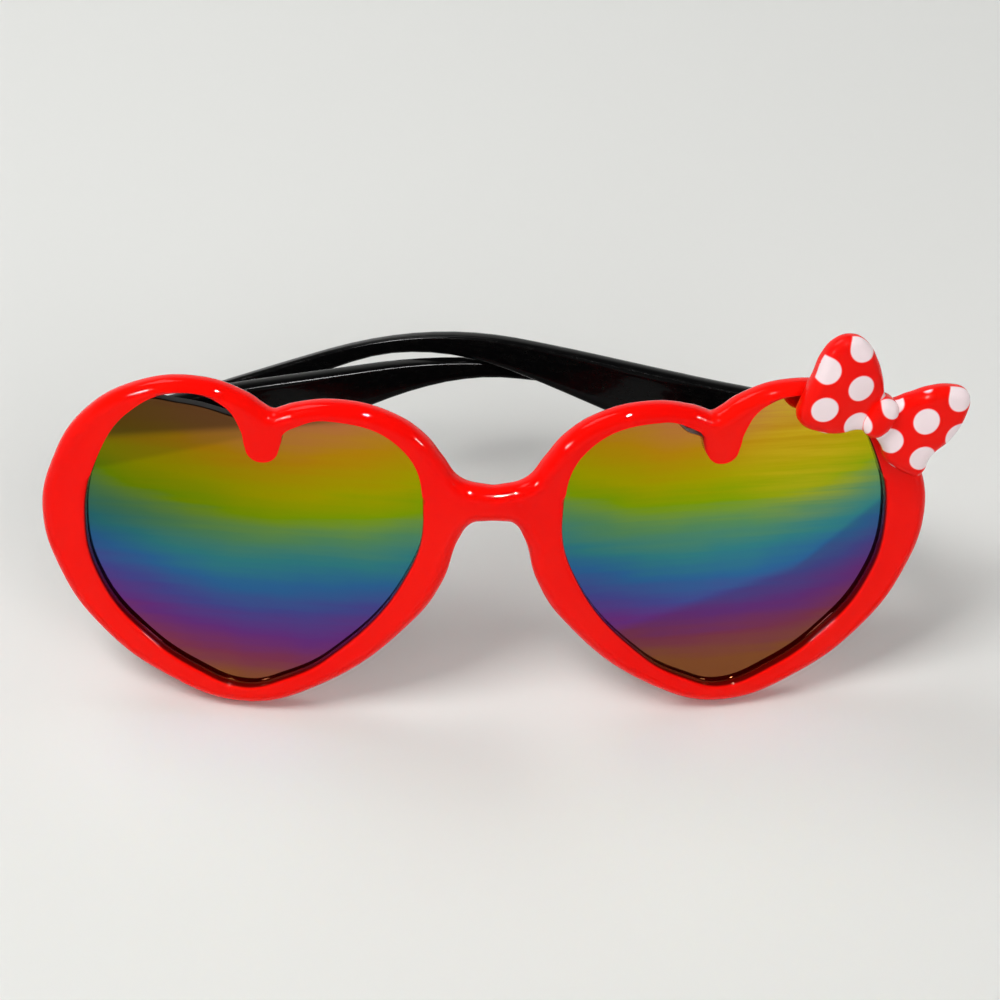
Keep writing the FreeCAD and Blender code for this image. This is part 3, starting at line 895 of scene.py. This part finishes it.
def hinge_finish(name, colour):
    """Plain nickel, brushed along the arm."""
    finish = Finish(name, Metallic=1.0)
    along = finish.stretched(finish.place(ROW), (1.0, 1.0, 12.0))
    brushed = finish.noise(along, scale=1.0, detail=4.0, roughness=0.6)
    darker = tuple(0.7 * part for part in colour)
    finish.surface(
        Base_Color=finish.mixed(brushed.between(0.3, 0.7), opaque(darker), opaque(colour)),
        Roughness=brushed.spread(*NICKEL_ROUGHNESS),
    )
    finish.bump(brushed, strength=0.05, distance=0.0001)
    return finish.material


class FrontSettings(bpy.types.PropertyGroup):
    """The moulded front."""

    rounding: FloatProperty(
        name="Rounding", description="Radius of the front's outer edges",
        default=1.9 * MM, unit="LENGTH",
    )
    edge: FloatProperty(
        name="Opening's edge", description="Softness of the lens openings' edges",
        default=0.55 * MM, unit="LENGTH",
    )
    colour: FloatVectorProperty(
        name="Red", description="Colour of the front's plastic", subtype="COLOR",
        default=(0.95, 0.0022, 0.0006),
    )
    warm_colour: FloatVectorProperty(
        name="Warm red", description="Colour where the plastic flowed", subtype="COLOR",
        default=(0.97, 0.0045, 0.0012),
    )
    # Painted shade: a deep dull red that stands for the shade on the walls round the lenses
    wall_shade_colour: FloatVectorProperty(
        name="Wall", description="Colour of the walls round the lenses", subtype="COLOR",
        default=(0.10, 0.0012, 0.0008),
    )


class BowSettings(bpy.types.PropertyGroup):
    """The bow."""

    rounding: FloatProperty(
        name="Rounding", description="Radius of the edges", default=1.4 * MM, unit="LENGTH",
    )
    swell: FloatProperty(
        name="Swell", description="Height of each loop's crown", default=0.9 * MM, unit="LENGTH",
    )
    colour: FloatVectorProperty(
        name="Red", description="Colour of the bow's plastic", subtype="COLOR",
        default=(0.93, 0.0022, 0.0008),
    )
    warm_colour: FloatVectorProperty(
        name="Warm red", description="Colour where the plastic flowed", subtype="COLOR",
        default=(0.96, 0.006, 0.002),
    )
    dot_colour: FloatVectorProperty(
        name="Dots", description="Colour of the printed dots", subtype="COLOR",
        default=(0.95, 0.79, 0.81),
    )
    dot_radius: FloatProperty(
        name="Dot radius", description="Radius of a dot", default=1.9 * MM, unit="LENGTH",
    )
    dot_spacing: FloatProperty(
        name="Dot spacing", description="From one dot to the next in a row",
        default=5.8 * MM, unit="LENGTH",
    )


class ArmSettings(bpy.types.PropertyGroup):
    """The arms."""

    corner: FloatProperty(
        name="Corner", description="How square an arm's section is, from 1, round, towards 0",
        default=0.42,
    )
    colour: FloatVectorProperty(
        name="Black", description="Colour of the arms' plastic", subtype="COLOR",
        default=(0.0016, 0.0016, 0.0018),
    )
    worn_colour: FloatVectorProperty(
        name="Worn black", description="Colour where hands rub", subtype="COLOR",
        default=(0.0034, 0.0032, 0.003),
    )


class LensSettings(bpy.types.PropertyGroup):
    """The lenses."""

    band_middle: FloatProperty(
        name="Band middle", description="Where the bands lie lowest, from the middle",
        default=29.0 * MM, unit="LENGTH",
    )
    band_bow: FloatProperty(
        name="Band bow", description="How fast the bands rise away from there, per metre", default=8.5,
    )
    back_colour: FloatVectorProperty(
        name="Back", description="Colour of a lens from behind", subtype="COLOR",
        default=(0.02, 0.02, 0.025),
    )
    # Painted shade on the right lens's upward cut edge
    edge_shade_colour: FloatVectorProperty(
        name="Dark edge", description="Colour of the right lens's cut edge", subtype="COLOR",
        default=(0.004, 0.004, 0.004),
    )
    # Painted highlight on the left lens's upward cut edge
    edge_highlight_colour: FloatVectorProperty(
        name="Pale edge", description="Colour of the left lens's cut edge", subtype="COLOR",
        default=(0.95, 0.94, 0.9),
    )
    # Painted shade and painted dark reflection: the colour towards which the lenses' darkened patches fade
    shade_and_reflection_colour: FloatVectorProperty(
        name="Dim", description="Colour towards which the coating's patches fade", subtype="COLOR",
        default=(0.03, 0.022, 0.008),
    )
    # Painted reflection: the colour of the bright patch on the upper left lens
    reflection_colour: FloatVectorProperty(
        name="Glow", description="Colour of the coating's brightest patch", subtype="COLOR",
        default=(0.72, 0.52, 0.02),
    )


class HingeSettings(bpy.types.PropertyGroup):
    """The hinges and their screws."""

    leaf_colour: FloatVectorProperty(
        name="Leaf", description="Colour of the hinge leaves", subtype="COLOR",
        default=(0.60, 0.58, 0.54),
    )
    screw_colour: FloatVectorProperty(
        name="Screw", description="Colour of the screws", subtype="COLOR", default=(0.68, 0.66, 0.62),
    )


class StageSettings(bpy.types.PropertyGroup):
    """The floor, the light and the camera."""

    floor_colour: FloatVectorProperty(
        name="Floor", description="Colour of the floor", subtype="COLOR", default=(0.755, 0.76, 0.735),
    )
    far_colour: FloatVectorProperty(
        name="Backdrop", description="Colour of the far floor and the backdrop", subtype="COLOR",
        default=(0.72, 0.725, 0.70),
    )
    sky_colour: FloatVectorProperty(
        name="Sky", description="Colour of the light from all round", subtype="COLOR",
        default=(0.8, 0.8, 0.8),
    )
    sky_strength: FloatProperty(
        name="Sky strength", description="Strength of the light from all round", default=0.28,
    )
    distance: FloatProperty(
        name="Distance", description="From the camera to its target", default=0.39, unit="LENGTH",
    )
    elevation: FloatProperty(
        name="Elevation", description="Camera above the horizon",
        default=math.radians(43.5), unit="ROTATION",
    )
    heading: FloatProperty(
        name="Heading", description="Camera's direction from +Y towards +X",
        default=math.radians(5.81), unit="ROTATION",
    )
    roll: FloatProperty(
        name="Roll", description="Camera's turn about its own view",
        default=math.radians(4.12), unit="ROTATION",
    )
    target: FloatVectorProperty(
        name="Target", description="Where the camera looks", subtype="XYZ",
        default=(0.00082, 0.0019, 0.03668),
    )


class SHADES_OT_front(bpy.types.Operator):
    """Build the red front with its rims, bridge, nose pads and end blocks"""

    bl_idname = "shades.front"
    bl_label = "Front"

    def execute(self, context):
        settings = context.scene.shades_front
        bm = front_mesh(settings.rounding / MM, settings.edge / MM)
        for side in (Matrix.Identity(4), MIRROR):
            add_mesh(bm, pad_mesh(), side @ LEFT_HALF)
        for side in (1, -1):
            add_mesh(bm, block_mesh(), hinge_frame(side))
        piece = finished_piece(
            "heart_front", bm, ROW, "front", front_finish(), ["frame_front"],
        )
        even_normals(piece)
        return {"FINISHED"}


class SHADES_OT_bow(bpy.types.Operator):
    """Build the dotted bow"""

    bl_idname = "shades.bow"
    bl_label = "Bow"

    def execute(self, context):
        settings = context.scene.shades_bow
        bm = bow_mesh(settings.rounding / MM, settings.swell / MM)
        finished_piece("dotted_bow", bm, bow_frame(), "front", bow_finish(), ["bow"])
        return {"FINISHED"}


class SHADES_OT_arms(bpy.types.Operator):
    """Build both black arms as they lie folded"""

    bl_idname = "shades.arms"
    bl_label = "Arms"

    def execute(self, context):
        material = black_plastic()
        fold = Matrix.Rotation(FOLD, 4, "Z")
        for side, name in ((1, "left"), (-1, "right")):
            bm = bmesh.new()
            arm = arm_mesh(context.scene.shades_arms.corner, ARM_HANG[name])
            add_mesh(bm, arm, hinge_frame(side) @ fold)
            finished_piece(
                name + "_arm", bm, ROW, name + "_arm", material, [name + "_temple"],
            )
        return {"FINISHED"}


class SHADES_OT_lenses(bpy.types.Operator):
    """Build both mirror coated lenses"""

    bl_idname = "shades.lenses"
    bl_label = "Lenses"

    def execute(self, context):
        material = lens_finish()
        for side, name in ((1, "left"), (-1, "right")):
            bm = lens_mesh(side, name)
            piece = finished_piece(
                name + "_mirror_lens", bm, ROW, "front", material, [name + "_lens"],
            )
            even_normals(piece)
        return {"FINISHED"}


class SHADES_OT_hinges(bpy.types.Operator):
    """Give the hinges and their screws a nickel finish"""

    bl_idname = "shades.hinges"
    bl_label = "Hinges"

    def execute(self, context):
        settings = context.scene.shades_hinges
        leaf = hinge_finish("hinge_nickel", settings.leaf_colour)
        screw = hinge_finish("screw_nickel", settings.screw_colour)
        for side in ("left", "right"):
            repaint(frame["nodes"][side + "_front_hinge"], leaf)
            repaint(frame["nodes"][side + "_temple_hinge"], leaf)
            repaint(frame["nodes"][side + "_hinge_screw"], screw)
        return {"FINISHED"}


def repaint(node, material):
    """Puts one material on all of a CAD node."""
    node.data.materials.clear()
    node.data.materials.append(material)


def add_lamp(name, place, size, power, seen_in):
    """A square area lamp that faces the sunglasses and shows in the gloss, in plain light or in both."""
    lamp = bpy.data.lights.new(name, "AREA")
    lamp.size = size
    lamp.energy = power
    holder = bpy.data.objects.new(name, lamp)
    holder.location = place
    holder.visible_glossy = seen_in != "light"
    holder.visible_diffuse = seen_in != "gloss"
    towards = Vector(LAMP_TARGET) - Vector(place)
    holder.rotation_euler = towards.to_track_quat("-Z", "Y").to_euler()
    bpy.context.scene.collection.objects.link(holder)


def seen_share(nodes):
    """1 for what the camera, the gloss and clear pieces see, and 0 for plain light."""
    path = nodes.node("ShaderNodeLightPath")
    seen = Value(nodes, path.outputs["Is Camera Ray"])
    for kind in ("Is Glossy Ray", "Is Transmission Ray"):
        seen = seen.math("MAXIMUM", Value(nodes, path.outputs[kind]))
    return seen


def add_floor(colour, far_colour):
    """A pale paper floor, which the camera sees evenly pale far from the object."""
    bm = bmesh.new()
    bmesh.ops.create_grid(bm, x_segments=1, y_segments=1, size=FLOOR_HALF)
    mesh = bpy.data.meshes.new("floor")
    bm.to_mesh(mesh)
    bm.free()
    floor = bpy.data.objects.new("floor", mesh)
    bpy.context.scene.collection.objects.link(floor)
    finish = Finish("floor_paper", Base_Color=opaque(colour), Roughness=0.9, Specular_IOR_Level=0.1)
    x, y, _ = finish.parts(finish.node("ShaderNodeTexCoord").outputs["Object"])
    far = (x * x + y * y).math("SQRT").between(FLOOR_NEAR, FLOOR_FAR)
    paper = finish.node("ShaderNodeEmission", None, {"Color": opaque(far_colour)})
    finish.share_shader(far * seen_share(finish), finish.shader, paper, "Material Output")
    mesh.materials.append(finish.material)


def add_world(settings):
    """Even light from all round, and a backdrop for the camera and the gloss, pale near the horizon."""
    world = bpy.data.worlds.new("studio")
    world.use_nodes = True
    nodes = Nodes(world.node_tree)
    light = nodes.tree.nodes["Background"]
    nodes.feed(light.inputs["Color"], opaque(settings.sky_colour))
    nodes.feed(light.inputs["Strength"], settings.sky_strength)
    _, _, up = nodes.parts(nodes.node("ShaderNodeTexCoord").outputs["Generated"])
    strength = up.between(*BACKDROP_TOP).spread(1.0, settings.sky_strength)
    inputs = {"Color": opaque(settings.far_colour), "Strength": strength}
    backdrop = nodes.node("ShaderNodeBackground", None, inputs)
    nodes.share_shader(seen_share(nodes), light, backdrop, "World Output")
    bpy.context.scene.world = world


def add_camera(settings):
    """The camera at the photograph's viewing angle."""
    cos_up = math.cos(settings.elevation)
    sideways = math.sin(settings.heading) * cos_up
    forward = Vector((sideways, math.cos(settings.heading) * cos_up, -math.sin(settings.elevation)))
    camera = bpy.data.cameras.new("camera")
    camera.lens = CAMERA_LENS
    camera.sensor_width = CAMERA_SENSOR
    camera.clip_start = CAMERA_NEAR
    holder = bpy.data.objects.new("camera", camera)
    holder.location = Vector(settings.target) - forward * settings.distance
    turn = forward.to_track_quat("-Z", "Y") @ Quaternion((0, 0, 1), settings.roll)
    holder.rotation_euler = turn.to_euler()
    bpy.context.scene.collection.objects.link(holder)
    bpy.context.scene.camera = holder


class SHADES_OT_stage(bpy.types.Operator):
    """Lay the floor and set the light and the camera"""

    bl_idname = "shades.stage"
    bl_label = "Stage"

    def execute(self, context):
        settings = context.scene.shades_stage
        add_floor(settings.floor_colour, settings.far_colour)
        for name, lamp in LAMPS.items():
            add_lamp(name, *lamp)
        add_world(settings)
        context.scene.view_settings.view_transform = "Standard"
        add_camera(settings)
        return {"FINISHED"}


class SHADES_PT_pieces(bpy.types.Panel):
    """The sunglasses' pieces and stage"""

    bl_idname = "SHADES_PT_pieces"
    bl_label = "Sunglasses"
    bl_space_type = "VIEW_3D"
    bl_region_type = "UI"
    bl_category = "Sunglasses"

    def draw(self, context):
        for operator in OPERATORS:
            self.layout.operator(operator.bl_idname)


SETTINGS = {
    "shades_front": FrontSettings,
    "shades_bow": BowSettings,
    "shades_arms": ArmSettings,
    "shades_lens": LensSettings,
    "shades_hinges": HingeSettings,
    "shades_stage": StageSettings,
}
OPERATORS = (
    SHADES_OT_front,
    SHADES_OT_bow,
    SHADES_OT_arms,
    SHADES_OT_lenses,
    SHADES_OT_hinges,
    SHADES_OT_stage,
)


def register():
    for group in SETTINGS.values():
        bpy.utils.register_class(group)
    for name, group in SETTINGS.items():
        setattr(bpy.types.Scene, name, PointerProperty(type=group))
    for operator in OPERATORS:
        bpy.utils.register_class(operator)
    bpy.utils.register_class(SHADES_PT_pieces)


def unregister():
    bpy.utils.unregister_class(SHADES_PT_pieces)
    for operator in reversed(OPERATORS):
        bpy.utils.unregister_class(operator)
    for name, group in SETTINGS.items():
        delattr(bpy.types.Scene, name)
        bpy.utils.unregister_class(group)


def main():
    register()
    bpy.ops.shades.front()
    bpy.ops.shades.bow()
    bpy.ops.shades.arms()
    bpy.ops.shades.lenses()
    bpy.ops.shades.hinges()
    bpy.ops.shades.stage()


if __name__ == "__main__":
    main()
